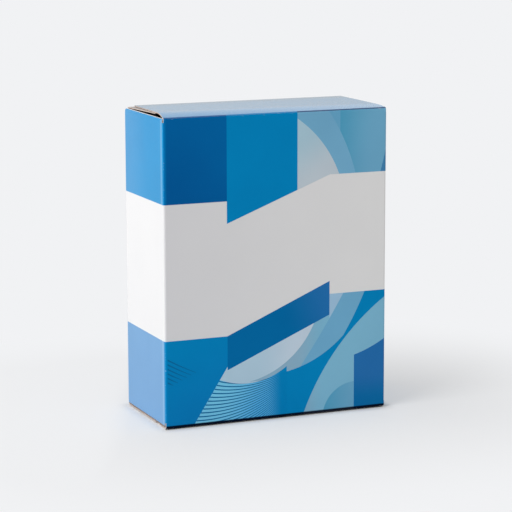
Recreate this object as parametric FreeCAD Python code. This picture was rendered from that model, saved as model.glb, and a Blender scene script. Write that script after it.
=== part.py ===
"""Folded-board carton for washing powder, 210 x 96 x 270 mm, with a top flap that lifts on its crease.

Millimetres, +Z up. The origin is the middle of the base, the wide front faces -Y and the left side faces -X.
The carton is one sheet: four walls, a glue tab, four dust flaps, an inner top flap and two bottom flaps.
The outer top flap is the end of the same sheet past the front crease, and is its own node because it moves.
Print is a thin skin on the outer face of the board, one node for each colour.
"""
import FreeCAD
import Part
import math
import os

Vec = FreeCAD.Vector

# Carton
WIDTH = 210.0             # across the front, outer faces
DEPTH = 96.0              # front to back, outer faces
HEIGHT = 268.6            # floor to where the front panel starts to fold over
BOARD = 0.8               # board thickness
FOLD = 2.0                # outer radius of every crease
LAYER_GAP = 0.15          # glue film or air between two layers of board
EDGE_GAP = 0.5            # side play where a flap's cut edge passes a wall
CORNER_NOTCH = 2.4        # height of the relief between a wall's corner and its flaps

# Outer top flap, which closes over the box from the front crease to the back. It is sprung up at its left end and
# flat at its right one, so pairs give the left end's value and the right end's.
CREASE_TURN = (70.0, 84.0)     # the front crease turns the sheet by this angle, in degrees
CROWN_RADIUS = (50.0, 180.0)   # the flap bows over this radius behind the crease
FLAP_FALL = (1.43, 0.0)        # then falls to the back at this angle, in degrees
HINGE_TURN = 35.0         # turn of the crease up to the line that the flap swings on, in degrees
LID_BACK_SETBACK = 2.5    # from the flap's back edge to the back face
LID_SIDE_SETBACK = 0.8    # from the flap's end to the side face, at the crease
LID_TAPER = (7.7, 0.0)    # further setback of the flap's end at its back edge
CREASE_GAP = 0.1          # between the two halves of the crease

# Bottom
FOOT_LIFT = 0.8           # the front panel's crease stands this far over the floor
FOOT_FALL = 3.0           # and the flap falls from it to the floor at this angle, in degrees
FOOT_SLACK = 0.9          # further gap between the inner flap and the dust flaps on it

# Inner flaps
INNER_FLAP = 70.0         # length of the back panel's flaps, over the depth
INNER_SIDE_SETBACK = 3.0  # from the inner top flap's end to the side face
OUTER_FLAP_SETBACK = 3.0  # from the bottom outer flap's free edge to the back face
DUST_FLAP = 62.0          # length of the side panels' flaps, over the width
DUST_DROOP = 20.0         # slope of the top dust flaps into the box, in degrees
DUST_CLEARANCE = 0.2      # between a top dust flap's crease and the inner flap over it
TAB_WIDTH = 18.0          # glue tab of the back panel inside the right side
TAB_END_GAP = 12.0        # from the glue seam's ends to the ends of the walls
GLUE_MARGIN = 3.0         # from the glue to the edge of what it holds
GLUE_BEAD = 14.0          # width of a glue line under the bottom flaps

# Washing powder
FILL_LEVEL = 226.0        # floor of the box to the powder's top
POWDER_PLAY = 0.4         # between the powder and the board round it
DIP_RADIUS = 75.0         # sphere that shapes the scooped hollow in the powder
DIP_DEPTH = 20.0
DIP_OFFSET = -14.0        # the hollow lies this far to the left of the middle

# Print, drawn for a panel of this size and stretched to the real one. Distances across are from the left edge of
# the front, heights from the floor.
ART_WIDTH = 210.0
ART_HEIGHT = 268.6
INK = 0.08                # thickness of a colour field
LINE_INK = 0.05           # thickness of a line over a field
FIRST_COLUMN = 58.0       # left upright edge of the print
SECOND_COLUMN = 124.2     # right edge of the mid-blue field
KNEE = 155.2              # where both slanted edges end
BLOCK_LEFT = 179.4        # left edge of the dark block
BAND_TOP_LEFT = 196.3     # the bare band's upper edge, at the left
BAND_TOP_RIGHT = 214.2    # and at the right
BAND_LOW_LEFT = 78.0      # the bare band's lower edge, at the left
BAND_LOW_RIGHT = 107.8    # and at the right
STEP_FOOT = 176.8         # the mid-blue field's lower left corner
DARK_TOP_RIGHT = 119.4    # top of the slanted dark band at the knee
DARK_HEIGHT = 30.2        # upright height of the slanted dark band
LEFT_BLOCK_KINK = 51.0    # the left block narrows below this height
LEFT_BLOCK_FOOT = 25.0    # and reaches the floor at this distance
WAVE_COUNT = 30
WAVE_PITCH = 3.3          # between the wave lines where they start, at the left
WAVE_WAY_PITCH = 2.35     # half way
WAVE_END_PITCH = 1.05     # and where they run together, at the right
WAVE_WIDTH = 1.1          # of a wave line at the left
WAVE_TIP = 0.4            # and at the right
DASH_COUNT = 6            # short slanting lines in the left block
DASH_PITCH = 4.0
DASH_WIDTH = 1.4
BACK_COLUMN = 58.0        # level stretch of the bare band at each end of the back

LEFT, RIGHT = -WIDTH / 2, WIDTH / 2
FRONT, BACK = -DEPTH / 2, DEPTH / 2
LAYER = BOARD + LAYER_GAP
BEYOND = 20.0             # overshoot of cutting shapes past what they cut
ART_ACROSS = WIDTH / ART_WIDTH
ART_UP = HEIGHT / ART_HEIGHT


def across(u, v):
    """Plan view."""
    return Vec(u, v, 0)


def from_side(u, v):
    """Section across the box from front to back."""
    return Vec(0, u, v)


def from_front(u, v):
    """Section across the box from left to right."""
    return Vec(u, 0, v)


class Sheet:
    """A folded sheet's section: its outer face as runs and folds, walked from a start point in a direction.

    The inside of the fold is on the hand that turn gives: 1 for left and -1 for right."""

    def __init__(self, start, heading, turn):
        self.at = start
        self.heading = math.radians(heading)
        self.turn = turn
        self.runs = []

    def normal(self, heading):
        """Outward normal."""
        return (self.turn * math.sin(heading), -self.turn * math.cos(heading))

    def run(self, length):
        end = (self.at[0] + length * math.cos(self.heading), self.at[1] + length * math.sin(self.heading))
        self.runs.append(("run", [(self.at, self.heading), (end, self.heading)]))
        self.at = end
        return self

    def fold(self, degrees, radius=FOLD):
        n = self.normal(self.heading)
        centre = (self.at[0] - n[0] * radius, self.at[1] - n[1] * radius)
        stops = []
        for share in (0.0, 0.5, 1.0):
            heading = self.heading + self.turn * math.radians(degrees) * share
            m = self.normal(heading)
            stops.append(((centre[0] + m[0] * radius, centre[1] + m[1] * radius), heading))
        self.runs.append(("fold", stops))
        self.at, self.heading = stops[-1]
        return self

    def face(self, outer, inner, plane):
        """The section between two distances from the outer face, positive outwards."""

        def moved(stop, distance):
            point, heading = stop
            n = self.normal(heading)
            return plane(point[0] + n[0] * distance, point[1] + n[1] * distance)

        def edge(kind, stops, distance):
            points = [moved(s, distance) for s in stops]
            if kind == "run":
                return Part.LineSegment(*points).toShape()
            return Part.Arc(*points).toShape()

        first, last = self.runs[0][1][0], self.runs[-1][1][-1]
        edges = [edge(kind, stops, outer) for kind, stops in self.runs]
        edges.append(Part.LineSegment(moved(last, outer), moved(last, inner)).toShape())
        edges += [edge(kind, stops[::-1], inner) for kind, stops in self.runs[::-1]]
        edges.append(Part.LineSegment(moved(first, inner), moved(first, outer)).toShape())
        return Part.Face(Part.Wire(edges))

    def board(self, plane, start, end):
        """Board of this section, from start to end along the plane's normal."""
        return extrude(self.face(0, -BOARD, plane), plane, start, end)

    def ink(self, plane, start, end):
        """Print on the outside of this section."""
        return extrude(self.face(INK, 0, plane), plane, start, end)


def extrude(face, plane, start, end):
    along = {across: Vec(0, 0, 1), from_side: Vec(1, 0, 0), from_front: Vec(0, 1, 0)}[plane]
    return face.translated(along * start).extrude(along * (end - start))


def box(x, y, z):
    """Block between pairs of x, y and z."""
    return Part.makeBox(x[1] - x[0], y[1] - y[0], z[1] - z[0], Vec(x[0], y[0], z[0]))


def joined(shapes):
    whole = shapes[0].fuse(shapes[1:])
    return whole.removeSplitter()


# Levels of the creases. Each panel's outer flap face lies one layer inside the flap that covers it.
CREASE_Y, CREASE_Z = FRONT + FOLD, HEIGHT
ENDS = (0, 1)             # left and right


def crown(end):
    """Highest point of the outer flap's upper face at one end."""
    rise, fall = math.radians(90 - CREASE_TURN[end]), math.radians(FLAP_FALL[end])
    y = CREASE_Y - FOLD * math.sin(rise) + CROWN_RADIUS[end] * (math.sin(rise) + math.sin(fall))
    z = CREASE_Z + FOLD * math.cos(rise) + CROWN_RADIUS[end] * (math.cos(fall) - math.cos(rise))
    return y, z


def flap_level(y, end):
    """Height of the inner top flap's upper face, one layer below the outer flap's."""
    crown_y, crown_z = crown(end)
    fall = math.radians(FLAP_FALL[end])
    return crown_z - (y - crown_y) * math.tan(fall) - LAYER / math.cos(fall)


BACK_CREASE_Y = BACK - FOLD
BACK_CREASE_Z = min(flap_level(BACK_CREASE_Y, end) for end in ENDS) - FOLD
SIDE_CREASE_Z = BACK_CREASE_Z - BOARD - DUST_CLEARANCE
WALL_TOP = SIDE_CREASE_Z - CORNER_NOTCH / 2
SIDE_BASE = 2 * LAYER + FOOT_SLACK   # outer face of the bottom dust flaps
BACK_BASE = LAYER         # outer face of the bottom inner flap
WALL_FOOT = SIDE_BASE + FOLD + CORNER_NOTCH / 2
TAB_OUTER = RIGHT - LAYER  # outer face of the glue tab
LEFT_FLAP_END, RIGHT_FLAP_END = LEFT + EDGE_GAP, RIGHT - EDGE_GAP
SIDE_FLAP_START, SIDE_FLAP_END = FRONT + FOLD, BACK - FOLD


def wall_section():
    """Plan section of the walls, from the right side's free edge round the front to the glue tab."""
    sheet = Sheet((RIGHT, BACK - EDGE_GAP), -90, -1)
    sheet.run(DEPTH - FOLD - EDGE_GAP).fold(90)
    sheet.run(WIDTH - 2 * FOLD).fold(90)
    sheet.run(DEPTH - 2 * FOLD).fold(90)
    sheet.run(TAB_OUTER - LEFT - 2 * FOLD).fold(90)
    return sheet.run(TAB_WIDTH)


def front_foot():
    """Foot of the front panel and the outer bottom flap, which falls to the floor and then lies flat on it."""
    fall = FOOT_LIFT / math.sin(math.radians(FOOT_FALL))
    sheet = Sheet((FRONT, WALL_FOOT), -90, 1)
    sheet.run(WALL_FOOT - FOOT_LIFT - FOLD).fold(90 - FOOT_FALL).run(fall).fold(FOOT_FALL)
    return sheet.run(BACK - OUTER_FLAP_SETBACK - sheet.at[0])


def back_foot():
    """Foot of the back panel and the inner bottom flap."""
    sheet = Sheet((BACK, WALL_FOOT), -90, -1)
    return sheet.run(WALL_FOOT - BACK_BASE - FOLD).fold(90).run(INNER_FLAP - FOLD)


def side_foot(side):
    """Foot of a side panel and its bottom dust flap. side is -1 on the left and 1 on the right."""
    sheet = Sheet((side * WIDTH / 2, WALL_FOOT), -90, -side)
    return sheet.run(WALL_FOOT - SIDE_BASE - FOLD).fold(90).run(DUST_FLAP - FOLD)


def front_head():
    """Head of the front panel and its half of the crease."""
    sheet = Sheet((FRONT, WALL_TOP), 90, -1)
    return sheet.run(HEIGHT - WALL_TOP).fold(HINGE_TURN)


def back_head(end):
    """Head of the back panel and the inner top flap at one end. The flap follows the outer one over it."""
    sheet = Sheet((BACK, WALL_TOP), 90, 1)
    return sheet.run(BACK_CREASE_Z - WALL_TOP).fold(90 - FLAP_FALL[end]).run(INNER_FLAP - FOLD)


def side_head(side):
    """Head of a side panel and its top dust flap."""
    sheet = Sheet((side * WIDTH / 2, WALL_TOP), 90, side)
    return sheet.run(SIDE_CREASE_Z - WALL_TOP).fold(90 + DUST_DROOP).run(DUST_FLAP - FOLD)


def lid_section(end):
    """The outer top flap at one end, from its swing line to its back edge."""
    head = front_head()
    sheet = Sheet(head.at, math.degrees(head.heading), -1)
    sheet.fold(CREASE_TURN[end] - HINGE_TURN)
    sheet.fold(90 - CREASE_TURN[end] + FLAP_FALL[end], CROWN_RADIUS[end])
    return sheet.run((BACK - LID_BACK_SETBACK - sheet.at[0]) / math.cos(sheet.heading))


def twisted(section, outer, inner, left, right):
    """Sheet whose section changes evenly from section(0) at its left end to section(1) at its right end."""
    wires = [section(end).face(outer, inner, from_side).translated(Vec(x, 0, 0)).OuterWire
             for end, x in zip(ENDS, (left, right))]
    return Part.makeLoft(wires, True, True)


def taper(shape, start, end, setback, depths):
    """Cuts the ends of a flap that spans the width, set back by setback as far as start.

    depths has the further setback at end, of the left end and of the right one."""
    inner, past = WIDTH / 2 - setback, end + BEYOND
    for side, depth in zip((-1, 1), depths):
        slanted = inner - depth * (past - start) / (end - start)
        outline = [(inner, FRONT - BEYOND), (inner, start), (slanted, past), (WIDTH / 2 + BEYOND, past),
                   (WIDTH / 2 + BEYOND, FRONT - BEYOND)]
        corners = [Vec(side * x, y, -BEYOND) for x, y in outline]
        shape = shape.cut(prism(corners, Vec(0, 0, HEIGHT + 3 * BEYOND)))
    return shape


def prism(points, along):
    """Straight-sided prism on a polygon."""
    return Part.Face(Part.makePolygon(points + points[:1])).extrude(along)


def carton():
    """The sheet, all but its outer top flap."""
    outer_flap = front_foot().board(from_side, LEFT, RIGHT)
    outer_flap = taper(outer_flap, FRONT + FOLD, BACK, EDGE_GAP, LID_TAPER)
    flap_right = TAB_OUTER - EDGE_GAP
    pieces = [
        wall_section().board(across, WALL_FOOT, WALL_TOP),
        outer_flap,
        back_foot().board(from_side, LEFT_FLAP_END, flap_right),
        front_head().board(from_side, LEFT + LID_SIDE_SETBACK, RIGHT - LID_SIDE_SETBACK),
        twisted(back_head, 0, -BOARD, LEFT + INNER_SIDE_SETBACK, RIGHT - INNER_SIDE_SETBACK),
    ]
    for side in (-1, 1):
        pieces.append(side_foot(side).board(from_front, SIDE_FLAP_START, SIDE_FLAP_END))
        pieces.append(side_head(side).board(from_front, SIDE_FLAP_START, SIDE_FLAP_END))
    return joined(pieces)


def past_crease(shape):
    """Moves the flap's half of the crease back from the front panel's half by the crease gap."""
    turn = math.radians(HINGE_TURN)
    return shape.translated(Vec(0, math.sin(turn), math.cos(turn)) * CREASE_GAP)


def lid(layer):
    """The outer top flap's board, or its print."""
    outer, inner = (0, -BOARD) if layer == "board" else (INK, 0)
    shape = twisted(lid_section, outer, inner, LEFT, RIGHT)
    return past_crease(taper(shape, CREASE_Y, BACK - LID_BACK_SETBACK, LID_SIDE_SETBACK, LID_TAPER))


def washing_powder():
    """Loose powder on the bottom flaps and between them, level at the walls and scooped out in the middle."""
    floor = SIDE_BASE + BOARD
    inner_right = TAB_OUTER - BOARD - POWDER_PLAY
    inner_left = LEFT + BOARD + POWDER_PLAY
    deep = DEPTH / 2 - BOARD - POWDER_PLAY
    fill = box((inner_left, inner_right), (-deep, deep), (floor, FILL_LEVEL))
    below_top = [edge for edge in fill.Edges if edge.CenterOfMass.z < FILL_LEVEL]
    fill = fill.makeFillet(FOLD, below_top)
    between = WIDTH / 2 - DUST_FLAP - POWDER_PLAY
    step = BACK - INNER_FLAP - POWDER_PLAY
    fill = joined([
        fill,
        box((-between, between), (step, SIDE_FLAP_END), (BACK_BASE + BOARD, floor + FOLD)),
        box((-between, between), (SIDE_FLAP_START, step), (FOOT_LIFT + BOARD + LAYER_GAP, floor + FOLD)),
    ])
    ball = Part.makeSphere(DIP_RADIUS, Vec(DIP_OFFSET, 0, FILL_LEVEL - DIP_DEPTH + DIP_RADIUS))
    return fill.cut(ball)


def seam_glue():
    """Glue between the tab and the right side panel."""
    near = BACK - FOLD - TAB_WIDTH + GLUE_MARGIN
    return box((TAB_OUTER, RIGHT - BOARD), (near, BACK - FOLD - GLUE_MARGIN),
               (WALL_FOOT + TAB_END_GAP, WALL_TOP - TAB_END_GAP))


def bottom_glue():
    """Two glue lines between the outer and the inner bottom flap, and one under each dust flap."""
    inner_front = BACK - INNER_FLAP + GLUE_MARGIN
    inner_back = BACK - FOLD - OUTER_FLAP_SETBACK - GLUE_MARGIN
    beads = []
    for front in (inner_front, inner_back - GLUE_BEAD):
        beads.append(box((LEFT + DUST_FLAP, RIGHT - DUST_FLAP), (front, front + GLUE_BEAD), (BOARD, LAYER)))
    for side in (-1, 1):
        ends = sorted((side * (WIDTH / 2 - DUST_FLAP + GLUE_MARGIN),
                       side * (WIDTH / 2 - DUST_FLAP + GLUE_MARGIN + GLUE_BEAD)))
        beads.append(box(ends, (inner_front, inner_back), (BOARD + LAYER, SIDE_BASE)))
    return Part.makeCompound(beads)


# Print on the walls. A skin covers one panel's outer face and half of each crease beside it.
CORNER_HALF = 45.0
HEEL_TURN = 60.0          # print runs this far round a crease under a flap, in degrees
UNDER_RUN = 1.8           # and round the front's lower crease, this far on under the flap


def front_skin():
    middle = math.radians(CORNER_HALF)
    start = (LEFT + FOLD - FOLD * math.cos(middle), FRONT + FOLD - FOLD * math.sin(middle))
    wall = Sheet(start, -CORNER_HALF, 1).fold(CORNER_HALF).run(WIDTH - 2 * FOLD).fold(CORNER_HALF)
    foot = Sheet((FRONT, WALL_FOOT), -90, 1).run(WALL_FOOT - FOOT_LIFT - FOLD).fold(90 - FOOT_FALL).run(UNDER_RUN)
    return joined([
        wall.ink(across, WALL_FOOT, WALL_TOP),
        foot.ink(from_side, LEFT_FLAP_END, RIGHT_FLAP_END),
        front_head().ink(from_side, LEFT + LID_SIDE_SETBACK, RIGHT - LID_SIDE_SETBACK),
    ])


def side_skin(side):
    middle = math.radians(CORNER_HALF)
    x = side * (WIDTH / 2 - FOLD + FOLD * math.sin(middle))
    y = FRONT + FOLD - FOLD * math.cos(middle)
    wall = Sheet((x, y), 90 - side * CORNER_HALF, side).fold(CORNER_HALF)
    if side < 0:
        wall.run(DEPTH - 2 * FOLD).fold(CORNER_HALF)
    else:
        wall.run(DEPTH - FOLD - EDGE_GAP)
    edge = side * WIDTH / 2
    foot = Sheet((edge, WALL_FOOT), -90, -side).run(WALL_FOOT - SIDE_BASE - FOLD).fold(HEEL_TURN)
    head = Sheet((edge, WALL_TOP), 90, side).run(SIDE_CREASE_Z - WALL_TOP).fold(HEEL_TURN)
    return joined([
        wall.ink(across, WALL_FOOT, WALL_TOP),
        foot.ink(from_front, SIDE_FLAP_START, SIDE_FLAP_END),
        head.ink(from_front, SIDE_FLAP_START, SIDE_FLAP_END),
    ])


def back_skin():
    middle = math.radians(CORNER_HALF)
    start = (LEFT + FOLD - FOLD * math.cos(middle), BACK - FOLD + FOLD * math.sin(middle))
    wall = Sheet(start, CORNER_HALF, -1).fold(CORNER_HALF).run(TAB_OUTER - LEFT - 2 * FOLD).fold(CORNER_HALF)
    foot = Sheet((BACK, WALL_FOOT), -90, -1).run(WALL_FOOT - BACK_BASE - FOLD).fold(HEEL_TURN)
    head = Sheet((BACK, WALL_TOP), 90, 1).run(BACK_CREASE_Z - WALL_TOP).fold(HEEL_TURN)
    flap_right = TAB_OUTER - EDGE_GAP
    return joined([
        wall.ink(across, WALL_FOOT, WALL_TOP),
        foot.ink(from_side, LEFT_FLAP_END, flap_right),
        head.ink(from_side, LEFT + INNER_SIDE_SETBACK, RIGHT - INNER_SIDE_SETBACK),
    ])


# Points of the front's outlines, as distance from the left edge and height
OVER = ART_HEIGHT + BEYOND
UNDER = -BEYOND
PAST = ART_WIDTH + BEYOND
MID_BAND = (BAND_TOP_LEFT + BAND_LOW_RIGHT) / 2   # inside the bare band all the way across
SAIL = ((167.1, 205.0), (150.0, 239.9), (112.0, 271.6))
WIDE_SAIL = ((182.2, 205.0), (169.1, 243.6), (151.2, 274.0))
FLAG = ((214.0, 251.0), (201.8, 205.0))
BLOCK_ARC = ((BLOCK_LEFT, 50.8), (195.4, 56.4), (216.0, 67.9))
SHEET_ARC = ((216.0, 106.0), (169.6, 66.6), (126.5, -8.0))
TONE_ARC = ((148.5, -5.0), (157.7, 17.4), (182.0, 26.5))
BLADE_UPPER = ((191.4, 112.5), (181.0, 90.4), (168.8, 69.5))
BLADE_LOWER = ((147.3, 53.4), (107.0, 40.6))
BLADE_LEFT = ((112.6, 18.0), (113.0, UNDER))
WAVE_ARC = ((46.0, 42.2), (74.0, 34.4), (114.0, 46.4))
RIBBON_ARC = ((171.2, 112.0), (148.2, 75.0), (127.0, 44.6))
SWOOSH_ARC = ((142.5, 88.0), (119.5, 55.0), (78.0, 35.6))
WAVE_START = 38.6         # height of the first wave line at the left block's edge
WAVE_WAY = (75.0, 34.7)   # a point of it half way
WAVE_END = (118.0, 44.4)  # and its right end, under the wedge
DASH_START = (2.4, 61.8)  # left end of the first short line
DASH_REACH = (26.0, -13.2)
DASH_SAG = 0.4
DASH_SHORTENING = 0.16    # each short line is this share of the first one shorter


def block_edge(z):
    """Distance of the left block's slanted edge at height z."""
    return LEFT_BLOCK_FOOT + (FIRST_COLUMN - LEFT_BLOCK_FOOT) * z / LEFT_BLOCK_KINK


class Outline:
    """Outline of a colour field on the front: straight edges, and arcs through a point on the way."""

    def __init__(self, start):
        self.first = self.at = self.place(start)
        self.edges = []

    def place(self, point):
        return Vec(LEFT + point[0] * ART_ACROSS, FRONT, point[1] * ART_UP)

    def line(self, *stops):
        for stop in stops:
            end = self.place(stop)
            self.edges.append(Part.LineSegment(self.at, end).toShape())
            self.at = end
        return self

    def arc(self, way, stop):
        end = self.place(stop)
        self.edges.append(Part.Arc(self.at, self.place(way), end).toShape())
        self.at = end
        return self

    def prism(self, start=-BEYOND, end=2 * FOLD):
        """The closed outline as a solid between two distances behind the front face."""
        edges = self.edges + [Part.LineSegment(self.at, self.first).toShape()]
        face = Part.Face(Part.Wire(edges)).translated(Vec(0, start, 0))
        return face.extrude(Vec(0, end - start, 0))


def upright(left, right, low, high):
    return Outline((left, low)).line((right, low), (right, high), (left, high))


def bare_band():
    """The unprinted band across the front."""
    return Outline((-BEYOND, BAND_TOP_LEFT)).line(
        (FIRST_COLUMN, BAND_TOP_LEFT), (FIRST_COLUMN, STEP_FOOT), (KNEE, BAND_TOP_RIGHT), (PAST, BAND_TOP_RIGHT),
        (PAST, BAND_LOW_RIGHT), (KNEE, BAND_LOW_RIGHT), (KNEE, DARK_TOP_RIGHT), (FIRST_COLUMN, BAND_LOW_LEFT),
        (-BEYOND, BAND_LOW_LEFT))


def left_block():
    return Outline((-BEYOND, MID_BAND)).line(
        (FIRST_COLUMN, MID_BAND), (FIRST_COLUMN, LEFT_BLOCK_KINK), (block_edge(UNDER), UNDER), (-BEYOND, UNDER))


def wave_field():
    return Outline(WAVE_ARC[0]).arc(*WAVE_ARC[1:]).line(
        (WAVE_ARC[2][0], UNDER), (-BEYOND, UNDER), (-BEYOND, WAVE_ARC[0][1]))


def front_fields():
    """Colour and outline of the front's fields. Each covers only what those before it leave free.

    What all of them leave free, at the upper right, is sky blue."""
    dark_left, dark_right = BAND_LOW_LEFT - DARK_HEIGHT, DARK_TOP_RIGHT - DARK_HEIGHT
    dark_band = Outline((FIRST_COLUMN, MID_BAND)).line((KNEE, MID_BAND), (KNEE, dark_right), (FIRST_COLUMN, dark_left))
    dark_block = Outline(BLOCK_ARC[0]).arc(*BLOCK_ARC[1:]).line(
        (PAST, BLOCK_ARC[2][1]), (PAST, UNDER), (BLOCK_LEFT, UNDER))
    blade = Outline(BLADE_UPPER[0]).arc(*BLADE_UPPER[1:]).arc(*BLADE_LOWER).arc(*BLADE_LEFT).line(
        (PAST, UNDER), (PAST, BLADE_UPPER[0][1]))
    low_tone = Outline(TONE_ARC[0]).arc(*TONE_ARC[1:]).line(
        (PAST, TONE_ARC[2][1]), (PAST, UNDER), (TONE_ARC[0][0], UNDER))
    sheet = Outline(SHEET_ARC[0]).arc(*SHEET_ARC[1:]).line(
        (SHEET_ARC[2][0], UNDER), (PAST, UNDER), (PAST, SHEET_ARC[0][1]))
    ribbon = Outline(RIBBON_ARC[0]).arc(*RIBBON_ARC[1:]).line((PAST, RIBBON_ARC[2][1]), (PAST, RIBBON_ARC[0][1]))
    swoosh = Outline(SWOOSH_ARC[0]).arc(*SWOOSH_ARC[1:]).line(
        (KNEE, SWOOSH_ARC[2][1]), (KNEE, DARK_TOP_RIGHT))
    sail = Outline(SAIL[0]).arc(*SAIL[1:]).line((-BEYOND, OVER), (-BEYOND, MID_BAND), (SAIL[0][0], MID_BAND))
    wide_sail = Outline(WIDE_SAIL[0]).arc(*WIDE_SAIL[1:]).line(
        (WIDE_SAIL[2][0], OVER), (-BEYOND, OVER), (-BEYOND, MID_BAND), (WIDE_SAIL[0][0], MID_BAND))
    flag = Outline(FLAG[0]).line(FLAG[1], (PAST, FLAG[1][1]), (PAST, FLAG[0][1]))
    return [
        ("deep_blue", upright(-BEYOND, FIRST_COLUMN, MID_BAND, OVER)),
        ("mid_blue", upright(FIRST_COLUMN, SECOND_COLUMN, MID_BAND, OVER)),
        ("pale_grey", sail),
        ("light_blue", wide_sail),
        ("mid_blue", flag),
        ("navy_blue", dark_band),
        ("navy_blue", dark_block),
        ("mid_blue", left_block()),
        ("sky_blue", low_tone),
        ("soft_blue", sheet),
        ("mid_blue", blade),
        ("wave_ground", wave_field()),
        ("light_blue", ribbon),
        ("soft_blue", swoosh),
        ("pale_grey", upright(-BEYOND, PAST, UNDER, MID_BAND)),
    ]


def stripe(points, width, tip):
    """Bent line on the front through three points, width wide at its start and tip at its end."""
    widths = (width, (width + tip) / 2, tip)
    upper = [(u, z + w / 2) for (u, z), w in zip(points, widths)]
    lower = [(u, z - w / 2) for (u, z), w in zip(points, widths)]
    return Outline(upper[0]).arc(*upper[1:]).line(lower[2]).arc(lower[1], lower[0])


def line_work():
    """The wave lines and the short lines of the left block, over their fields."""
    near, far = -INK - LINE_INK, -INK
    flat = upright(FOLD, ART_WIDTH - FOLD, FOLD, BAND_LOW_LEFT)
    free = wave_field().prism(near, far).cut(left_block().prism()).common(flat.prism())
    lines = []
    for k in range(WAVE_COUNT):
        start = WAVE_START - k * WAVE_PITCH
        points = [(block_edge(start), start), (WAVE_WAY[0], WAVE_WAY[1] - k * WAVE_WAY_PITCH),
                  (WAVE_END[0], WAVE_END[1] - k * WAVE_END_PITCH)]
        lines.append(stripe(points, WAVE_WIDTH, WAVE_TIP).prism(near, far).common(free))
    for k in range(DASH_COUNT):
        share = 1 - k * DASH_SHORTENING
        u, z = DASH_START[0], DASH_START[1] - k * DASH_PITCH
        way = (u + DASH_REACH[0] * share / 2, z + (DASH_REACH[1] / 2 - DASH_SAG) * share)
        points = [(u, z), way, (u + DASH_REACH[0] * share, z + DASH_REACH[1] * share)]
        lines.append(stripe(points, DASH_WIDTH, WAVE_TIP).prism(near, far))
    return Part.makeCompound([solid for line in lines for solid in line.Solids])


def back_band():
    """The unprinted band across the back, level at each side and slanted between."""
    left, right = LEFT + BACK_COLUMN * ART_ACROSS, RIGHT - BACK_COLUMN * ART_ACROSS
    corners = [(LEFT - BEYOND, BAND_TOP_LEFT), (left, BAND_TOP_LEFT), (right, BAND_TOP_RIGHT),
               (RIGHT + BEYOND, BAND_TOP_RIGHT), (RIGHT + BEYOND, BAND_LOW_RIGHT), (right, BAND_LOW_RIGHT),
               (left, BAND_LOW_LEFT), (LEFT - BEYOND, BAND_LOW_LEFT)]
    return prism([Vec(x, 0, z * ART_UP) for x, z in corners], Vec(0, DEPTH, 0))


def print_fields():
    """The print's colours, each with its solids."""
    colours = {}
    rest = front_skin().cut(bare_band().prism()).Solids
    for colour, outline in front_fields():
        cutter = outline.prism()
        taken = [piece.common(cutter) for piece in rest]
        colours.setdefault(colour, []).extend(solid for shape in taken for solid in shape.Solids)
        rest = [solid for piece, part in zip(rest, taken)
                for solid in (piece.cut(cutter).Solids if part.Solids else [piece])]
    colours["sky_blue"] += rest
    reach = (LEFT - BEYOND, RIGHT + BEYOND), (FRONT - BEYOND, BACK + BEYOND)
    left = side_skin(-1).cut(box(*reach, (BAND_LOW_LEFT * ART_UP, BAND_TOP_LEFT * ART_UP)))
    right = side_skin(1).cut(box(*reach, (BAND_LOW_RIGHT * ART_UP, BAND_TOP_RIGHT * ART_UP)))
    back = back_skin().cut(back_band())
    colours["mid_blue"] += left.Solids + right.Solids + back.Solids
    return {colour: solids[0].fuse(solids[1:]) if len(solids) > 1 else solids[0]
            for colour, solids in colours.items()}


def main():
    os.makedirs("parts", exist_ok=True)
    nodes = {
        "carton": carton(),
        "lid": lid("board"),
        "washing_powder": washing_powder(),
        "seam_glue": seam_glue(),
        "bottom_glue": bottom_glue(),
        "lid_print": lid("print"),
        "print_wave_lines": line_work(),
    }
    for colour, shape in print_fields().items():
        nodes["print_" + colour] = shape
    for name, shape in nodes.items():
        shape.exportStep("parts/" + name + ".step")
        print(name, "solids", len(shape.Solids), "valid", shape.isValid(), "mm3", round(shape.Volume, 1))


main()
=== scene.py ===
"""The looks of the washing powder box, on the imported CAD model. Metres, in the same frame as the CAD."""
import math
import random

import bpy
from mathutils import Matrix, Vector


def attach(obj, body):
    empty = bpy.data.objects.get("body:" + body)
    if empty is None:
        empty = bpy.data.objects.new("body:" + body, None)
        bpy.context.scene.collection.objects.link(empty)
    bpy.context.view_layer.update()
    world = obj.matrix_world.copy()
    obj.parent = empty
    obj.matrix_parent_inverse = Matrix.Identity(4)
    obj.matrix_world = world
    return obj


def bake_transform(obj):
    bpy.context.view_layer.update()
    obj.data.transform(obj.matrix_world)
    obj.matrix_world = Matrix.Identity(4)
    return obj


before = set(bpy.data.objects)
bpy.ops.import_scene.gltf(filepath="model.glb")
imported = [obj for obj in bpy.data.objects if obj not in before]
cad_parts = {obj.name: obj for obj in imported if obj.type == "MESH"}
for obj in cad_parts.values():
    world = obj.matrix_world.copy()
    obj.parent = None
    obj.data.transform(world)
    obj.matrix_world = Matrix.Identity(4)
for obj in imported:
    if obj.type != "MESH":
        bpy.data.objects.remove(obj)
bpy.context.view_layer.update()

MM = 0.001
HALF_WIDTH, HALF_DEPTH = 105 * MM, 48 * MM
LEFT_EDGE = -HALF_WIDTH
FRONT_LIMIT = -HALF_DEPTH + 4 * MM      # a point before it and between the side limits is on the front panel
SIDE_LIMIT = HALF_WIDTH - 0.4 * MM
LIGHT_LEVEL = 0.70                      # linear brightness of a white surface on the front panel


def linear(*srgb):
    """Linear colour, with alpha, from 0 to 255 display values."""
    values = [c / 255 for c in srgb]
    return tuple(c / 12.92 if c <= 0.04045 else ((c + 0.055) / 1.055) ** 2.4 for c in values) + (1.0,)


def lit(*srgb):
    """Colour of a surface that renders as these display values on the front panel."""
    return tuple(min(c / LIGHT_LEVEL, 0.92) for c in linear(*srgb)[:3]) + (1.0,)


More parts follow.
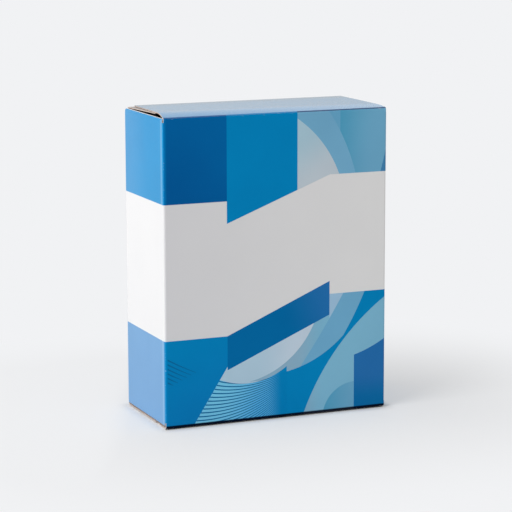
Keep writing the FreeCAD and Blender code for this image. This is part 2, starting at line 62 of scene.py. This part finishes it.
class Paint:
    """A material's nodes. Two nodes are joined by a socket, and a constant is set on the socket it goes to."""

    def __init__(self, name):
        self.material = bpy.data.materials.new(name)
        self.material.use_nodes = True
        self.tree = self.material.node_tree
        self.tree.nodes.clear()
        self.shader = self.node("BsdfPrincipled")
        self.output = self.node("OutputMaterial", {"Surface": self.shader.outputs["BSDF"]})
        place = self.node("TexCoord")
        self.place, self.normal = place.outputs["Object"], place.outputs["Normal"]
        self.x, self.y, self.z = self.split(self.place)

    def node(self, kind, inputs=(), **settings):
        made = self.tree.nodes.new("ShaderNode" + kind)
        for name, value in settings.items():
            setattr(made, name, value)
        for key, value in dict(inputs).items():
            self.put(made.inputs[key], value)
        return made

    def put(self, socket, value):
        if isinstance(value, bpy.types.NodeSocket):
            self.tree.links.new(value, socket)
        else:
            socket.default_value = value

    def set(self, **inputs):
        """Inputs of the shader, by name with _ for a space."""
        for name, value in inputs.items():
            self.put(self.shader.inputs[name.replace("_", " ")], value)

    def split(self, vector):
        return self.node("SeparateXYZ", {"Vector": vector}).outputs[:3]

    def math(self, operation, *values):
        return self.node("Math", enumerate(values), operation=operation).outputs[0]

    def absolute(self, value):
        return self.math("ABSOLUTE", value)

    def product(self, first, *others):
        """The values multiplied. Of masks, where all of them lie."""
        for value in others:
            first = self.math("MULTIPLY", first, value)
        return first

    def greatest(self, first, *others):
        """The greatest of the values. Of masks, where any of them lies."""
        for value in others:
            first = self.math("MAXIMUM", first, value)
        return first

    def over(self, value, level):
        """1 where the value is over the level."""
        return self.math("GREATER_THAN", value, level)

    def under(self, value, level):
        """1 where the value is under the level."""
        return self.math("LESS_THAN", value, level)

    def past(self, value, level):
        """How far the value is past the level, and 0 before it."""
        return self.greatest(self.math("SUBTRACT", value, level), 0.0)

    def square_sum(self, a, b):
        return self.math("ADD", self.product(a, a), self.product(b, b))

    def ramp(self, value, low, high, to_low=0.0, to_high=1.0, kind="SMOOTHSTEP"):
        """Value taken from low..high to to_low..to_high."""
        inputs = {"Value": value, "From Min": low, "From Max": high, "To Min": to_low, "To Max": to_high}
        return self.node("MapRange", inputs, interpolation_type=kind).outputs["Result"]

    def between(self, value, low, high, soft):
        """1 from low to high, falling to 0 over soft outside."""
        return self.product(self.ramp(value, low - soft, low), self.ramp(value, high, high + soft, 1.0, 0.0))

    def noise(self, scale, detail=3.0, stretch=(1, 1, 1), shift=0.0, roughness=0.5):
        """Noise from 0 to 1 over the surface, scale in features a metre."""
        place = self.place
        if stretch != (1, 1, 1) or shift:
            inputs = {"Vector": place, "Scale": stretch, "Location": (shift, shift / 2, -shift)}
            place = self.node("Mapping", inputs).outputs[0]
        inputs = {"Vector": place, "Scale": scale, "Detail": detail, "Roughness": roughness}
        return self.node("TexNoise", inputs).outputs["Fac"]

    def mix(self, share, a, b, blend="MIX"):
        return self.node("Mix", {0: share, 6: a, 7: b}, data_type="RGBA", blend_type=blend).outputs[2]

    def bump(self, *heights):
        """Bump from pairs of a height socket and its size in metres, set on the shader."""
        normal = None
        for height, size in heights:
            inputs = {"Height": height, "Distance": size, "Strength": 1.0}
            if normal:
                inputs["Normal"] = normal
            normal = self.node("Bump", inputs).outputs[0]
        self.set(Normal=normal)


def on_front(paint):
    """1 on the front panel, 0 on the others."""
    return paint.product(paint.under(paint.y, FRONT_LIMIT), paint.under(paint.absolute(paint.x), SIDE_LIMIT))


def flecks(paint):
    return paint.noise(1500, detail=2, roughness=0.7)


def waviness(paint):
    """Pairs for Paint.bump: the slow and the finer unevenness of the flat board, bare and printed."""
    return (paint.noise(9, detail=1), 0.5 * MM), (paint.noise(70, detail=2), 0.05 * MM)


# Ink
# painted shade for the front's foot, where it turns under towards the floor
PAINTED_FOOT_SHADE = linear(0, 14, 40)
CLOUD_TINT = (0.6, 0.66, 0.75, 1.0)
FLECK_TONE = linear(176, 204, 224)
BARE_PAPER = linear(228, 230, 234)
WEAR_START, WEAR_FULL = 1.6 * MM, 0.4 * MM      # distances from a panel's face, at an upright fold
HEAD_FOLD = (269.2 * MM, 270.6 * MM, 0.5 * MM)  # levels of the folds at the top, and the wear's soft edge
FOOT_SHADE_LEVELS = (3.9 * MM, 2.9 * MM)                     # levels over which the front's foot turns under, darkened there by painted shade


def fold_wear(paint):
    """How near a point is to one of the box's folded edges, from 0 to 1."""
    beside = paint.ramp(paint.absolute(paint.x), HALF_WIDTH - WEAR_START, HALF_WIDTH - WEAR_FULL)
    before = paint.ramp(paint.absolute(paint.y), HALF_DEPTH - WEAR_START, HALF_DEPTH - WEAR_FULL)
    return paint.greatest(paint.product(beside, before), paint.between(paint.z, *HEAD_FOLD))


def ink(name, colour, *tones, roughness=0.34, wear=0.5, ior=1.2, coat=0.0):
    """Printed and varnished card. Each of tones is a further tone and share(paint), which is where it lies."""
    paint = Paint(name)
    tone = colour
    for other, share in tones:
        tone = paint.mix(share(paint), tone, other)
    cloud = paint.ramp(paint.noise(22, detail=2, shift=0.3), 0.3, 0.7, 0.0, 0.14)
    tone = paint.mix(cloud, tone, paint.mix(1.0, tone, CLOUD_TINT, "MULTIPLY"))
    fleck = flecks(paint)
    tone = paint.mix(paint.ramp(fleck, 0.66, 0.82, 0.0, 0.07), tone, FLECK_TONE)
    crack = paint.noise(520, detail=4, stretch=(0.35, 1, 1.6), roughness=0.75)
    worn = paint.product(fold_wear(paint), paint.ramp(crack, 0.60, 0.68, 0.0, wear))
    tone = paint.mix(worn, tone, BARE_PAPER)
    # painted shade: the front's foot goes dark navy where it turns under towards the floor
    tone = paint.mix(paint.product(on_front(paint), paint.ramp(paint.z, *FOOT_SHADE_LEVELS)), tone, PAINTED_FOOT_SHADE)
    gloss = paint.ramp(fleck, 0.3, 0.7, roughness - 0.05, roughness + 0.07)
    paint.set(Base_Color=tone, IOR=ior(paint) if callable(ior) else ior, Roughness=gloss)
    if coat:
        paint.set(Coat_Weight=coat, Coat_Roughness=0.12, Coat_IOR=1.5)
    paint.bump(*waviness(paint), (fleck, 0.006 * MM))
    return paint.material


# Board
RAW, RAW_LIGHT, RAW_DARK = linear(204, 187, 178), linear(226, 214, 204), linear(158, 138, 126)
RAW_CLOUD = linear(188, 172, 160)
COATED, SHADED_LEFT_COATING = lit(200, 200, 201), lit(191, 191, 194)
COATED_CLOUD, COATED_FLECK = lit(184, 184, 187), lit(182, 182, 184)
SHADED_INNER_COATING = linear(168, 163, 162)
SKIN = 0.3 * MM                         # depth under an outer face that still is that face
WALL = 1.6 * MM                         # depth under an outer face that is inside the walls
UPRIGHT = 0.7                           # least part of a wall's normal that points out sideways
LEVEL = 0.5                             # least part of a level face's normal that points up or down
STEEP = 0.6                             # most of an upright fold's normal that does
HEAD_LEVEL, DUST_FLAP_LEVEL, FOOT_LEVEL = 266.5 * MM, 235 * MM, 3.2 * MM
FOLD_INSET, FOLD_REACH = 2 * MM, 1.7 * MM   # an upright fold's outer face is past the reach from the inset
INNER_FLAP_LEVEL, INNER_FLAP_FRONT = 269.9 * MM, -30 * MM
INNER_SHADE = (-86 * MM, -97 * MM)      # along x, over which painted shade darkens the inner flap towards its left end, in the slit at the top
LEFT_SHADE = (70 * MM, -100 * MM)       # along x, over which painted shade darkens the front's white coating to its left edge


def raw_tone(paint):
    """Uncoated recycled board: warm grey with darker and lighter fibres."""
    cloud = paint.noise(160, detail=4)
    fibre = paint.noise(1400, detail=5, stretch=(0.25, 1, 1), roughness=0.7)
    tone = paint.mix(paint.ramp(cloud, 0.3, 0.7, 0.0, 0.5), RAW, RAW_CLOUD)
    tone = paint.mix(paint.ramp(fibre, 0.58, 0.72, 0.0, 0.55), tone, RAW_DARK)
    return paint.mix(paint.ramp(fibre, 0.40, 0.28, 0.0, 0.5), tone, RAW_LIGHT), fibre


def raw_board(name):
    paint = Paint(name)
    tone, fibre = raw_tone(paint)
    paint.set(Base_Color=tone, Roughness=0.86, IOR=1.4)
    paint.bump((paint.noise(60, detail=2), 0.06 * MM), (fibre, 0.03 * MM))
    return paint.material


def coated_faces(paint):
    """1 on the sheet's outer face and the top dust flaps' upper side, 0 on its inner face and cut edges."""
    ax, ay = paint.absolute(paint.x), paint.absolute(paint.y)
    nx, ny, nz = paint.split(paint.normal)
    side = paint.product(paint.over(ax, HALF_WIDTH - SKIN), paint.over(paint.absolute(nx), UPRIGHT))
    face = paint.product(paint.over(ay, HALF_DEPTH - SKIN), paint.over(paint.absolute(ny), UPRIGHT))
    head = paint.product(paint.over(paint.z, HEAD_LEVEL), paint.over(nz, LEVEL))
    inside = paint.product(paint.under(ax, HALF_WIDTH - WALL), paint.under(ay, HALF_DEPTH - WALL))
    dust_flap = paint.product(inside, paint.over(paint.z, DUST_FLAP_LEVEL), paint.over(nz, LEVEL))
    foot = paint.product(paint.under(paint.z, FOOT_LEVEL), paint.under(nz, -LEVEL))
    reach = paint.square_sum(paint.past(ax, HALF_WIDTH - FOLD_INSET), paint.past(ay, HALF_DEPTH - FOLD_INSET))
    fold = paint.product(paint.over(reach, FOLD_REACH ** 2), paint.under(paint.absolute(nz), STEEP))
    return paint.greatest(side, face, head, dust_flap, foot, fold)


def coating_tone(paint, fleck):
    # painted shade: the front's white coating darker towards its left edge
    painted_left_shade = paint.product(on_front(paint), paint.ramp(paint.x, *LEFT_SHADE, kind="LINEAR"))
    tone = paint.mix(painted_left_shade, COATED, SHADED_LEFT_COATING)
    tone = paint.mix(paint.ramp(paint.noise(14, detail=2), 0.3, 0.7, 0.0, 0.12), tone, COATED_CLOUD)
    tone = paint.mix(paint.ramp(fleck, 0.60, 0.76, 0.0, 0.22), tone, COATED_FLECK)
    # painted shade on the inner flap's left end, which lies in the slit under the lid's end
    inner_flap = paint.product(paint.over(paint.z, INNER_FLAP_LEVEL), paint.over(paint.y, INNER_FLAP_FRONT))
    return paint.mix(paint.product(inner_flap, paint.ramp(paint.x, *INNER_SHADE)), tone, SHADED_INNER_COATING)


def white_board(name):
    """The carton's board: white coating on the sheet's outer face, raw board inside and on every cut edge."""
    paint = Paint(name)
    coat, fleck = coated_faces(paint), flecks(paint)
    tone, fibre = raw_tone(paint)
    tone = paint.mix(coat, tone, coating_tone(paint, fleck))
    paint.set(Base_Color=tone, Roughness=paint.ramp(coat, 0.0, 1.0, 0.85, 0.42), IOR=1.3)
    paint.bump(*waviness(paint), (paint.mix(coat, fibre, fleck), 0.008 * MM))
    return paint.material


def powder(name):
    """White powder with a few blue grains."""
    paint = Paint(name)
    lump = paint.noise(260, detail=4, roughness=0.6)
    grain = paint.node("TexVoronoi", {"Vector": paint.place, "Scale": 1500.0}, feature="F1")
    draw = paint.split(grain.outputs["Color"])[0]
    tone = paint.mix(paint.ramp(lump, 0.3, 0.7, 0.0, 0.6), linear(246, 246, 245), linear(234, 236, 239))
    tone = paint.mix(paint.ramp(draw, 0.93, 0.97, 0.0, 0.7), tone, linear(120, 160, 205))
    paint.set(Base_Color=tone, Roughness=0.92, IOR=1.35, Subsurface_Weight=0.08, Subsurface_Scale=0.8 * MM)
    paint.bump((lump, 0.6 * MM), (grain.outputs["Distance"], 0.10 * MM))
    return paint.material


def glue(name):
    """Dried glue, amber and half glossy."""
    paint = Paint(name)
    drop = paint.noise(240, detail=2)
    tone = paint.mix(drop, linear(206, 186, 140), linear(182, 158, 112))
    paint.set(Base_Color=tone, Roughness=0.35, IOR=1.48)
    paint.bump((drop, 0.12 * MM))
    return paint.material


# Tones within the print's fields. Lengths with u run from the front's left edge
LOWER_ART_TOP = 190 * MM
LEFT_FOLD = (1.3 * MM, 0.05 * MM)       # u over which the left side's tones take over from the front's
LIGHT_STRIP = (-45.0 * MM, -43.0 * MM, 1.6 * MM)    # along y, where the painted highlight before the left fold lies, with its soft edge
LIGHT_STRIP_SHARE, STRIP_SHARE = 0.26, 0.7
STRIP = (3.6 * MM, 1.6 * MM)            # u, on the front beside the fold, where that fold's painted highlight lies
WAVES_END = (94 * MM, 110 * MM)         # u
GLARE_LEVELS = (125 * MM, 95 * MM)
GLARE_START = (-47.9 * MM, -44.4 * MM)  # along y, at the fold
REAR_GLARE = (-20 * MM, 48 * MM, 0.0, 0.30)         # along y, and its shares
LEFT_BLOCK_WIDTH = 60 * MM
FLAG_START, FLAG_LEVEL = 196 * MM, 200 * MM         # u, and a level
SAIL_END, SAIL_LEVELS = 165 * MM, (236 * MM, 248 * MM)      # u, and levels
CREASE_FRONT = (-45.9 * MM, -46.9 * MM)             # along y
FIRST_COLUMN, SECOND_COLUMN = (-47.2 * MM, -46.8 * MM), (19.0 * MM, 19.4 * MM)      # along x, where each ends
LOW_IOR, SIDE_IOR = 1.1, 1.27               # a low one keeps the mirrored studio off the dark blues


def slope(paint, start, end):
    """From 0 at start to 1 at end, each in millimetres from the front's left edge and from the floor."""
    du, dz = end[0] - start[0], end[1] - start[1]
    square = du * du + dz * dz
    u = paint.math("SUBTRACT", paint.x, LEFT_EDGE + start[0] * MM)
    z = paint.math("SUBTRACT", paint.z, start[1] * MM)
    along = paint.math("ADD", paint.product(u, du / square / MM), paint.product(z, dz / square / MM))
    return paint.ramp(along, 0.0, 1.0)


def ramp_across(paint, start, end, *to):
    """A ramp between two distances from the front's left edge, to the values given or from 0 to 1."""
    return paint.ramp(paint.x, LEFT_EDGE + start, LEFT_EDGE + end, *to)


def part_of_left(paint):
    """1 on the left side, falling to 0 round the fold to the front."""
    return ramp_across(paint, *LEFT_FOLD)


def painted_fold_highlight(paint):
    """The left side's last strip before the fold to the front, with a painted highlight where the fold catches
    the light.
    """
    return paint.product(part_of_left(paint), paint.between(paint.y, *LIGHT_STRIP), LIGHT_STRIP_SHARE)


def front_fold_highlight(paint):
    """The front's first strip after that fold, painted lighter as a highlight on the turn of the fold."""
    return ramp_across(paint, *STRIP, 0.0, STRIP_SHARE)


def past_waves(paint):
    """The wave field's right end, where it runs out into the mid blue."""
    return ramp_across(paint, *WAVES_END)


def in_lower_art(paint, start, end):
    """The fields below the bare band, from 0 at start to 1 at end, in millimetres from the front's left."""
    return paint.product(paint.under(paint.z, LOWER_ART_TOP), ramp_across(paint, start * MM, end * MM))


def left_glare(paint):
    """Where a painted glare makes the left side's print paler: its lower block, and the upper one towards the
    back.
    """
    low = paint.product(paint.ramp(paint.z, *GLARE_LEVELS), paint.ramp(paint.y, *GLARE_START))
    return paint.product(part_of_left(paint), paint.greatest(low, paint.ramp(paint.y, *REAR_GLARE)))


def side_gloss(paint):
    """The left side's varnish mirrors the studio more than the other panels' does."""
    return paint.ramp(part_of_left(paint), 0.0, 1.0, LOW_IOR, SIDE_IOR)


def in_left_block(paint):
    """The mid blue field at the front's lower left, more so towards its foot."""
    block = paint.product(on_front(paint), paint.under(paint.x, LEFT_EDGE + LEFT_BLOCK_WIDTH))
    return paint.product(block, slope(paint, (8, 76), (40, 12)))


def in_flag(paint):
    """The small corner of mid blue beside the sky blue field."""
    corner = paint.product(paint.over(paint.x, LEFT_EDGE + FLAG_START), paint.over(paint.z, FLAG_LEVEL))
    return paint.product(on_front(paint), corner)


def by_sail(paint):
    """The strip of the sky blue field that keeps the pale arc's tone."""
    return paint.product(paint.under(paint.x, LEFT_EDGE + SAIL_END), paint.ramp(paint.z, *SAIL_LEVELS))


def on_crease(paint):
    """The lid's half of the front crease, which carries on the front's colours."""
    return paint.ramp(paint.y, *CREASE_FRONT)


def past_first_column(paint):
    return paint.product(on_crease(paint), paint.ramp(paint.x, *FIRST_COLUMN))


def past_second_column(paint):
    return paint.product(on_crease(paint), paint.ramp(paint.x, *SECOND_COLUMN))


DEEP_BLUE, MID_BLUE = lit(0, 78, 136), lit(0, 117, 171)
INKS = {
    "print_deep_blue": ink(
        "ink_deep_blue", DEEP_BLUE,
        (lit(0, 88, 146), lambda p: slope(p, (5, 200), (55, 268))),
        # painted highlight on the front's strip beside the left fold
        (lit(0, 103, 160), front_fold_highlight),
        ior=LOW_IOR),
    "print_mid_blue": ink(
        "ink_mid_blue", MID_BLUE,
        (lit(4, 109, 166), in_left_block),
        (lit(60, 118, 160), in_flag),
        (lit(16, 124, 175), part_of_left),
        # painted glare: a paler blue on the left side
        (linear(112, 163, 210), left_glare),
        # painted highlight on the left side's strip before the fold
        (linear(170, 216, 246), painted_fold_highlight),
        ior=side_gloss),
    "print_navy_blue": ink(
        "ink_navy_blue", lit(0, 94, 148),
        (lit(34, 99, 157), lambda p: slope(p, (120, 60), (175, 80))),
        (lit(8, 97, 150), lambda p: slope(p, (190, 34), (190, 8))),
        ior=LOW_IOR),
    "print_sky_blue": ink(
        "ink_sky_blue", lit(66, 140, 172),
        (lit(97, 152, 182), lambda p: slope(p, (156, 240), (200, 237))),
        (lit(90, 148, 180), by_sail)),
    "print_soft_blue": ink(
        "ink_soft_blue", lit(112, 164, 189),
        (lit(124, 157, 178), lambda p: slope(p, (150, 60), (120, 60)))),
    "print_wave_ground": ink(
        "ink_wave_ground", lit(106, 178, 206),
        (lit(72, 155, 203), lambda p: slope(p, (52, 30), (98, 12))),
        (MID_BLUE, past_waves),
        ior=LOW_IOR),
    "print_light_blue": ink(
        "ink_light_blue", lit(100, 152, 182),
        (lit(104, 156, 186), lambda p: slope(p, (140, 270), (178, 220))),
        (lit(98, 153, 185), lambda p: in_lower_art(p, 0, 1))),
    "print_pale_grey": ink(
        "ink_pale_grey", lit(150, 178, 192),
        (lit(170, 181, 190), lambda p: slope(p, (128, 250), (150, 215))),
        (lit(157, 182, 198), lambda p: in_lower_art(p, 0, 1)),
        (lit(173, 188, 202), lambda p: in_lower_art(p, 85, 125)),
        (lit(140, 172, 197), lambda p: in_lower_art(p, 147, 150))),
    "print_wave_lines": ink(
        "ink_line_blue", lit(6, 92, 140),
        (MID_BLUE, past_waves),
        wear=0.0, ior=LOW_IOR),
    "lid_print": ink(
        "ink_lid_blue", linear(44, 130, 176),
        # painted sheen: a lighter blue towards the front and a greyer one towards the back stand in for the
        # varnish mirroring the studio
        (linear(122, 176, 222), lambda p: p.ramp(p.y, -18 * MM, -40 * MM)),
        (linear(96, 120, 132), lambda p: p.ramp(p.y, 20 * MM, 46 * MM, 0.0, 0.7)),
        (DEEP_BLUE, on_crease),
        (lit(0, 114, 170), past_first_column),
        (linear(8, 70, 124), past_second_column),
        roughness=0.24, ior=1.5, coat=0.3),
}
BOARD = white_board("white_board")
RAW_BOARD = raw_board("raw_board")
POWDER = powder("loose_powder")
GLUE = glue("dried_glue")


def dress(node, material):
    """Gives a CAD node one material."""
    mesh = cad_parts[node].data
    mesh.materials.clear()
    mesh.materials.append(material)


for node_name, material in INKS.items():
    dress(node_name, material)
dress("carton", BOARD)
dress("lid", RAW_BOARD)
dress("washing_powder", POWDER)
dress("seam_glue", GLUE)
dress("bottom_glue", GLUE)


def add_mesh(name, points, faces, material, smooth=True):
    mesh = bpy.data.meshes.new(name)
    mesh.from_pydata(points, [], faces)
    mesh.materials.append(material)
    for polygon in mesh.polygons:
        polygon.use_smooth = smooth
    made = bpy.data.objects.new(name, mesh)
    bpy.context.scene.collection.objects.link(made)
    return made


# The board across the lid's crease, inside the board's thickness
PIVOT = Vector((0, -47.7 * MM, 269.85 * MM))
CREASE_SLOPE = math.radians(35)
ALONG = Vector((0, math.sin(CREASE_SLOPE), math.cos(CREASE_SLOPE)))
OUTWARD = Vector((0, -math.cos(CREASE_SLOPE), math.sin(CREASE_SLOPE)))
STRIP_HALF = 1.0 * MM
STRIP_STEPS, STRIP_COLUMNS = 16, 40
STRIP_ENDS = 103.9 * MM
STRIP_TOP, STRIP_BOTTOM = 0.20 * MM, 0.86 * MM      # depths under the fold's outer face
FOLD_RADIUS = 2.1 * MM


def crease_strip():
    """Closed band along the crease, curved as the fold is."""
    section = []
    centre = PIVOT - OUTWARD * FOLD_RADIUS
    for depth, order in ((STRIP_TOP, 1), (STRIP_BOTTOM, -1)):
        row = []
        for k in range(STRIP_STEPS + 1):
            angle = (2 * k / STRIP_STEPS - 1) * STRIP_HALF / FOLD_RADIUS
            direction = OUTWARD * math.cos(angle) + ALONG * math.sin(angle)
            row.append(centre + direction * (FOLD_RADIUS - depth))
        section += row[::order]
    points, faces = [], []
    count = len(section)
    for c in range(STRIP_COLUMNS + 1):
        x = STRIP_ENDS * (2 * c / STRIP_COLUMNS - 1)
        points += [(x, p.y, p.z) for p in section]
    for c in range(STRIP_COLUMNS):
        for k in range(count):
            a, b = c * count + k, c * count + (k + 1) % count
            faces.append((a, b, b + count, a + count))
    faces.append(tuple(range(count))[::-1])
    faces.append(tuple(range(STRIP_COLUMNS * count, (STRIP_COLUMNS + 1) * count)))
    return add_mesh("lid_crease", points, faces, RAW_BOARD)


strip = crease_strip()
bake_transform(strip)


# The powder's surface: the CAD's level top and scooped hollow, with lumps and loose grains
FILL = 226 * MM
DIP_RADIUS = 75 * MM
DIP_CENTRE = Vector((-14 * MM, 0, FILL - 20 * MM + DIP_RADIUS))
POWDER_BOX = ((-103.0 * MM, 101.6 * MM), (-46.0 * MM, 46.0 * MM))
SURFACE_COLUMNS, SURFACE_ROWS = 200, 90
SURFACE_LIFT, LUMP_HEIGHT, ROUGHNESS = 0.3, 2.2, 0.35     # millimetres over the CAD's top
LUMPS = ((17, 0.5), (7.3, 0.3), (3.1, 0.2))     # sizes in millimetres, and their shares of a lump's height
GRAINS, GRAIN_LIFT = 1500, 0.45
GRAIN_SIZES = (0.25, 0.55)      # half a grain's length, in millimetres
GRAIN_MARGIN = 1 * MM


def powder_level(x, y):
    """Height of the CAD powder's top."""
    reach = DIP_RADIUS ** 2 - (x - DIP_CENTRE.x) ** 2 - (y - DIP_CENTRE.y) ** 2
    if reach <= 0:
        return FILL
    return min(FILL, DIP_CENTRE.z - math.sqrt(reach))


def ripple(x, y):
    """Lumps in the powder's surface, from 0 to about 1."""
    value = 0.0
    for size, share in LUMPS:
        u, v = x / MM / size, y / MM / size
        wave = math.sin(u * 1.3 + 2 * math.sin(v * 0.9 + size)) * math.cos(v * 1.7 + math.sin(u * 1.1))
        value += share * wave
    return 0.5 + 0.5 * value


def powder_surface():
    columns, rows = SURFACE_COLUMNS, SURFACE_ROWS
    (left, right), (front, back) = POWDER_BOX
    draw = random.Random(7)
    points, faces = [], []
    for r in range(rows + 1):
        for c in range(columns + 1):
            x, y = left + (right - left) * c / columns, front + (back - front) * r / rows
            rise = SURFACE_LIFT + LUMP_HEIGHT * ripple(x, y) + ROUGHNESS * draw.random()
            points.append((x, y, powder_level(x, y) + rise * MM))
    for r in range(rows):
        for c in range(columns):
            a = r * (columns + 1) + c
            faces.append((a, a + 1, a + columns + 2, a + columns + 1))
    return add_mesh("powder_surface", points, faces, POWDER)


def powder_grains():
    """Coarser grains lying on the surface, each an uneven octahedron."""
    draw = random.Random(11)
    (left, right), (front, back) = POWDER_BOX
    points, faces = [], []
    for _ in range(GRAINS):
        x = draw.uniform(left + GRAIN_MARGIN, right - GRAIN_MARGIN)
        y = draw.uniform(front + GRAIN_MARGIN, back - GRAIN_MARGIN)
        size = draw.uniform(*GRAIN_SIZES) * MM
        middle = Vector((x, y, powder_level(x, y) + (GRAIN_LIFT + LUMP_HEIGHT * ripple(x, y)) * MM))
        turn = Matrix.Rotation(draw.uniform(0, math.pi), 3, Vector((draw.random(), draw.random(), 1)))
        base = len(points)
        for corner in ((1, 0, 0), (-1, 0, 0), (0, 1, 0), (0, -1, 0), (0, 0, 1), (0, 0, -1)):
            points.append(middle + turn @ Vector(corner) * size * draw.uniform(0.7, 1.1))
        for ring in ((0, 2), (2, 1), (1, 3), (3, 0)):
            faces.append((base + ring[0], base + ring[1], base + 4))
            faces.append((base + ring[1], base + ring[0], base + 5))
    return add_mesh("powder_grains", points, faces, POWDER, smooth=False)


for piece in (powder_surface(), powder_grains()):
    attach(piece, "carton")


# Stage
FLOOR_REACH = 14.0
FLOOR_LEVEL = -0.05 * MM                # just under the box, so that no two faces share a plane
CONTACT = (0.0, 0.012)                  # distances from the box over which the background's light sets in
FLOOR_FADE = (0.02, 0.30, 0.45, 1.0)    # distances from the box, and shares of that light there
LIT_WAY = (-0.92, 0.39)                 # over the floor, past the box's left side, where no shadow falls
LIT_SIDE = (0.08, 0.135, 0.0, 0.80)     # distances that way, and least shares there
BACKDROP = linear(241, 242, 244)


def seen(tree):
    """1 for rays from the camera, and for mirrored and refracted ones."""
    path = tree.nodes.new("ShaderNodeLightPath")
    value = path.outputs["Is Camera Ray"]
    for name in ("Is Glossy Ray", "Is Transmission Ray"):
        either = tree.nodes.new("ShaderNodeMath")
        either.operation = "MAXIMUM"
        tree.links.new(value, either.inputs[0])
        tree.links.new(path.outputs[name], either.inputs[1])
        value = either.outputs[0]
    return value


def floor():
    """White paper that carries the box's shadow, and fades into the pale background away from it."""
    paint = Paint("floor_paper")
    tone = paint.mix(paint.noise(0.8, detail=1), linear(240, 241, 243), linear(243, 244, 246))
    paint.set(Base_Color=tone, Roughness=0.75, IOR=1.2)
    paint.bump((paint.noise(900, detail=2), 0.01 * MM))
    dx, dy = paint.past(paint.absolute(paint.x), HALF_WIDTH), paint.past(paint.absolute(paint.y), HALF_DEPTH)
    away = paint.math("SQRT", paint.square_sum(dx, dy))
    lit_way = paint.math("ADD", paint.product(paint.x, LIT_WAY[0]), paint.product(paint.y, LIT_WAY[1]))
    share = paint.greatest(paint.ramp(away, *FLOOR_FADE), paint.ramp(lit_way, *LIT_SIDE))
    share = paint.product(paint.ramp(away, *CONTACT), share, seen(paint.tree))
    pale = paint.node("Emission", {"Color": BACKDROP, "Strength": 1.0})
    both = paint.node("MixShader", {0: share, 1: paint.shader.outputs["BSDF"], 2: pale.outputs[0]})
    paint.put(paint.output.inputs["Surface"], both.outputs[0])
    corners = ((-1, -1), (1, -1), (1, 1), (-1, 1))
    points = [(x * FLOOR_REACH, y * FLOOR_REACH, FLOOR_LEVEL) for x, y in corners]
    return add_mesh("floor", points, [(0, 1, 2, 3)], paint.material)


floor()

AIM = (0, 0, 0.1)
SOFT_LIGHT = 0.50


def lamp(name, size, power, place):
    """Round area lamp turned to the aim."""
    data = bpy.data.lights.new(name, "AREA")
    data.shape = "DISK"
    data.size = size
    data.energy = power
    made = bpy.data.objects.new(name, data)
    made.location = place
    made.rotation_euler = (Vector(AIM) - Vector(place)).to_track_quat("-Z", "Y").to_euler()
    bpy.context.scene.collection.objects.link(made)
    return made


lamp("key", 2.2, 58.0, (-2.6, -0.9, 2.3))
side = lamp("side", 1.4, 12.0, (-2.4, 0.35, 0.9))
side.visible_glossy = False     # it stands low, and mirrored in the lid it would hide the lid's colour


def sky():
    """Soft light from all round, and a pale background where it is seen or mirrored."""
    world = bpy.data.worlds.new("studio")
    world.use_nodes = True
    tree = world.node_tree
    tree.nodes.clear()
    soft, pale = tree.nodes.new("ShaderNodeBackground"), tree.nodes.new("ShaderNodeBackground")
    soft.inputs["Color"].default_value = linear(255, 253, 249)
    soft.inputs["Strength"].default_value = SOFT_LIGHT
    pale.inputs["Color"].default_value = BACKDROP
    pale.inputs["Strength"].default_value = 1.0
    mixed, output = tree.nodes.new("ShaderNodeMixShader"), tree.nodes.new("ShaderNodeOutputWorld")
    tree.links.new(seen(tree), mixed.inputs[0])
    tree.links.new(soft.outputs[0], mixed.inputs[1])
    tree.links.new(pale.outputs[0], mixed.inputs[2])
    tree.links.new(mixed.outputs[0], output.inputs["Surface"])
    bpy.context.scene.world = world


sky()

CAMERA_PLACE = (-0.7309, -1.7322, 0.47575)
CAMERA_FORWARD = (0.38273, 0.90673, -0.17710)
CAMERA_ROLL = -0.130            # degrees
CAMERA_LENS, CAMERA_SENSOR = 150.85, 36.0       # millimetres


def camera():
    data = bpy.data.cameras.new("camera")
    data.lens, data.sensor_width = CAMERA_LENS, CAMERA_SENSOR
    made = bpy.data.objects.new("camera", data)
    forward = Vector(CAMERA_FORWARD).normalized()
    right = forward.cross(Vector((0, 0, 1))).normalized()
    turn = Matrix((right, right.cross(forward), -forward)).transposed()
    turn = turn @ Matrix.Rotation(math.radians(CAMERA_ROLL), 3, "Z")
    made.matrix_world = Matrix.Translation(CAMERA_PLACE) @ turn.to_4x4()
    bpy.context.scene.collection.objects.link(made)
    bpy.context.scene.camera = made


camera()
bpy.context.scene.view_settings.view_transform = "Standard"
